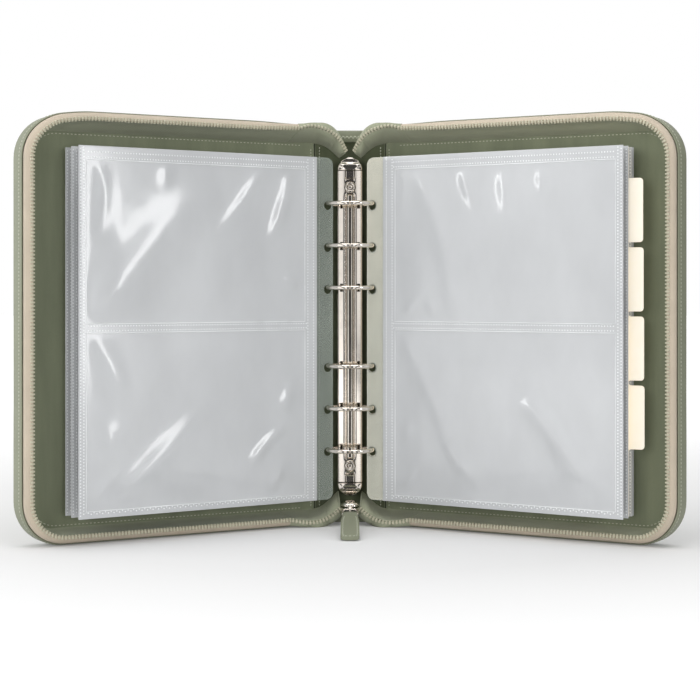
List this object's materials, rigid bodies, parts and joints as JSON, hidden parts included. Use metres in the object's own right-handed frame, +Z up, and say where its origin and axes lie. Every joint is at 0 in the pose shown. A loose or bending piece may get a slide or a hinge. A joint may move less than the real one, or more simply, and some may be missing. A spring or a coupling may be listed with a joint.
{
  "type": "seed packet organizer",
  "caption": "Zip-around ring binder for seed packets, standing open, with ring mechanism, clear pocket leaves, tab dividers and a leather zip pull.",
  "frame": {"origin": "middle of the spine leather's foot, on the surface that the organizer stands on", "axes": "+X to the right of someone who looks into the open organizer, +Y to its back, +Z up"},
  "size_m": [0.383, 0.1211, 0.244],
  "materials": {
    "leather": "fine-grained sage green, soft satin",
    "board": "matt greyboard",
    "lining": "brushed sage lining",
    "tape": "cream woven zip tape",
    "metal": "warm bright nickel",
    "film": "clear glossy film",
    "margin": "clear glossy film",
    "card": "matt ivory card"
  },
  "bodies": {
    "spine": {"spine_leather": "leather", "spine_board": "board", "spine_lining": "lining", "left_crease_leather": "leather", "left_crease_lining": "lining", "right_crease_leather": "leather", "right_crease_lining": "lining", "top_left_gusset": "lining", "top_right_gusset": "lining", "bottom_left_gusset": "lining", "bottom_right_gusset": "lining", "ring_plate": "metal", "top_rivet": "metal", "bottom_rivet": "metal", "zip_slider": "metal"},
    "left_cover": {"left_cover_leather": "leather", "left_cover_board": "board", "left_cover_lining": "lining", "left_zip_tape": "tape", "left_wall_lining": "lining", "left_zip_chain": "metal"},
    "right_cover": {"right_cover_leather": "leather", "right_cover_board": "board", "right_cover_lining": "lining", "right_zip_tape": "tape", "right_wall_lining": "lining", "right_zip_chain": "metal"},
    "left_ring_half": {"left_rings": "metal"},
    "right_ring_half": {"right_rings": "metal"},
    "top_lever": {"top_lever": "metal"},
    "bottom_lever": {"bottom_lever": "metal"},
    "left_leaf_1": {"left_leaf_1": "film", "left_leaf_1_margin": "margin"},
    "left_leaf_2": {"left_leaf_2": "film", "left_leaf_2_margin": "margin"},
    "left_leaf_3": {"left_leaf_3": "film", "left_leaf_3_margin": "margin"},
    "right_leaf_1": {"right_leaf_1": "film", "right_leaf_1_margin": "margin"},
    "right_leaf_2": {"right_leaf_2": "film", "right_leaf_2_margin": "margin"},
    "right_leaf_3": {"right_leaf_3": "film", "right_leaf_3_margin": "margin"},
    "right_leaf_4": {"right_leaf_4": "film", "right_leaf_4_margin": "margin"},
    "divider_1": {"divider_1": "card"},
    "divider_2": {"divider_2": "card"},
    "divider_3": {"divider_3": "card"},
    "divider_4": {"divider_4": "card"},
    "pull_loop": {"pull_loop": "metal"},
    "pull_tab": {"pull_tab": "leather"}
  },
  "joints": [
    {"name": "left_cover_fold", "type": "hinge", "parent": "spine", "child": "left_cover", "pos_m": [-0.02, 0, 0], "axis": [0, 0, 1], "range_deg": [-31.8, 58.2], "deforming": ["left_crease_leather", "left_crease_lining", "top_left_gusset", "bottom_left_gusset"]},
    {"name": "right_cover_fold", "type": "hinge", "parent": "spine", "child": "right_cover", "pos_m": [0.02, 0, 0], "axis": [0, 0, -1], "range_deg": [-31.8, 58.2], "deforming": ["right_crease_leather", "right_crease_lining", "top_right_gusset", "bottom_right_gusset"]},
    {"name": "rings_open", "type": "hinge", "parent": "spine", "child": "left_ring_half", "pos_m": [-0.00556, -0.0049, 0.122], "axis": [0, 0, 1], "range_deg": [-12, 0]},
    {"name": "right_rings_open", "type": "hinge", "parent": "spine", "child": "right_ring_half", "pos_m": [0.00556, -0.0049, 0.122], "axis": [0, 0, 1], "range_deg": [0, 12]},
    {"name": "top_lever_press", "type": "hinge", "parent": "spine", "child": "top_lever", "pos_m": [0, -0.006, 0.2188], "axis": [1, 0, 0], "range_deg": [-18, 0]},
    {"name": "bottom_lever_press", "type": "hinge", "parent": "spine", "child": "bottom_lever", "pos_m": [0, -0.006, 0.0252], "axis": [1, 0, 0], "range_deg": [0, 18]},
    {"name": "left_leaf_2_swing", "type": "hinge", "parent": "spine", "child": "left_leaf_2", "pos_m": [-0.0138, -0.0184, 0.122], "axis": [0, 0, 1], "range_deg": [-32.23, 58.9], "deforming": ["left_leaf_2_margin"]},
    {"name": "left_leaf_3_swing", "type": "hinge", "parent": "spine", "child": "left_leaf_3", "pos_m": [-0.0138, -0.0184, 0.122], "axis": [0, 0, 1], "range_deg": [-33.54, 61.3], "deforming": ["left_leaf_3_margin"]},
    {"name": "right_leaf_1_swing", "type": "hinge", "parent": "spine", "child": "right_leaf_1", "pos_m": [0.0138, -0.0184, 0.122], "axis": [0, 0, -1], "range_deg": [-32.01, 58.5], "deforming": ["right_leaf_1_margin"]},
    {"name": "right_leaf_2_swing", "type": "hinge", "parent": "spine", "child": "right_leaf_2", "pos_m": [0.0138, -0.0184, 0.122], "axis": [0, 0, -1], "range_deg": [-32.88, 60.1], "deforming": ["right_leaf_2_margin"]},
    {"name": "divider_1_swing", "type": "hinge", "parent": "spine", "child": "divider_1", "pos_m": [0.0138, -0.0184, 0.122], "axis": [0, 0, -1], "range_deg": [-32.99, 60.3], "deforming": ["divider_1"]},
    {"name": "divider_2_swing", "type": "hinge", "parent": "spine", "child": "divider_2", "pos_m": [0.0138, -0.0184, 0.122], "axis": [0, 0, -1], "range_deg": [-32.99, 60.3], "deforming": ["divider_2"]},
    {"name": "divider_3_swing", "type": "hinge", "parent": "spine", "child": "divider_3", "pos_m": [0.0138, -0.0184, 0.122], "axis": [0, 0, -1], "range_deg": [-32.99, 60.3], "deforming": ["divider_3"]},
    {"name": "divider_4_swing", "type": "hinge", "parent": "spine", "child": "divider_4", "pos_m": [0.0138, -0.0184, 0.122], "axis": [0, 0, -1], "range_deg": [-32.99, 60.3], "deforming": ["divider_4"]},
    {"name": "right_leaf_3_swing", "type": "hinge", "parent": "spine", "child": "right_leaf_3", "pos_m": [0.0138, -0.0184, 0.122], "axis": [0, 0, -1], "range_deg": [-33.16, 60.6], "deforming": ["right_leaf_3_margin"]},
    {"name": "right_leaf_4_swing", "type": "hinge", "parent": "spine", "child": "right_leaf_4", "pos_m": [0.0138, -0.0184, 0.122], "axis": [0, 0, -1], "range_deg": [-33.43, 61.1], "deforming": ["right_leaf_4_margin"]},
    {"name": "left_leaf_1_turn", "type": "hinge", "parent": "left_leaf_2", "child": "left_leaf_1", "pos_m": [0, -0.0184, 0.122], "axis": [0, 0, -1], "range_deg": [-105, 0], "deforming": ["left_leaf_1_margin"]},
    {"name": "pull_loop_swing", "type": "hinge", "parent": "spine", "child": "pull_loop", "pos_m": [0, -0.0274, 0.01044], "axis": [-1, 0, 0], "range_deg": [0, 45]},
    {"name": "pull_tab_swing", "type": "hinge", "parent": "pull_loop", "child": "pull_tab", "pos_m": [0, -0.0384, 0.00924], "axis": [-1, 0, 0], "range_deg": [0, 30]}
  ],
  "couplings": [
    {"joint": "right_rings_open", "follows": "rings_open", "ratio": -1},
    {"joint": "top_lever_press", "follows": "rings_open", "ratio": 1.5},
    {"joint": "bottom_lever_press", "follows": "rings_open", "ratio": -1.5},
    {"joint": "left_leaf_2_swing", "follows": "left_cover_fold", "ratio": 1.0103},
    {"joint": "left_leaf_3_swing", "follows": "left_cover_fold", "ratio": 1.0515},
    {"joint": "right_leaf_1_swing", "follows": "right_cover_fold", "ratio": 1.0034},
    {"joint": "right_leaf_2_swing", "follows": "right_cover_fold", "ratio": 1.0309},
    {"joint": "divider_1_swing", "follows": "right_cover_fold", "ratio": 1.0344},
    {"joint": "divider_2_swing", "follows": "right_cover_fold", "ratio": 1.0344},
    {"joint": "divider_3_swing", "follows": "right_cover_fold", "ratio": 1.0344},
    {"joint": "divider_4_swing", "follows": "right_cover_fold", "ratio": 1.0344},
    {"joint": "right_leaf_3_swing", "follows": "right_cover_fold", "ratio": 1.0395},
    {"joint": "right_leaf_4_swing", "follows": "right_cover_fold", "ratio": 1.0481}
  ]
}
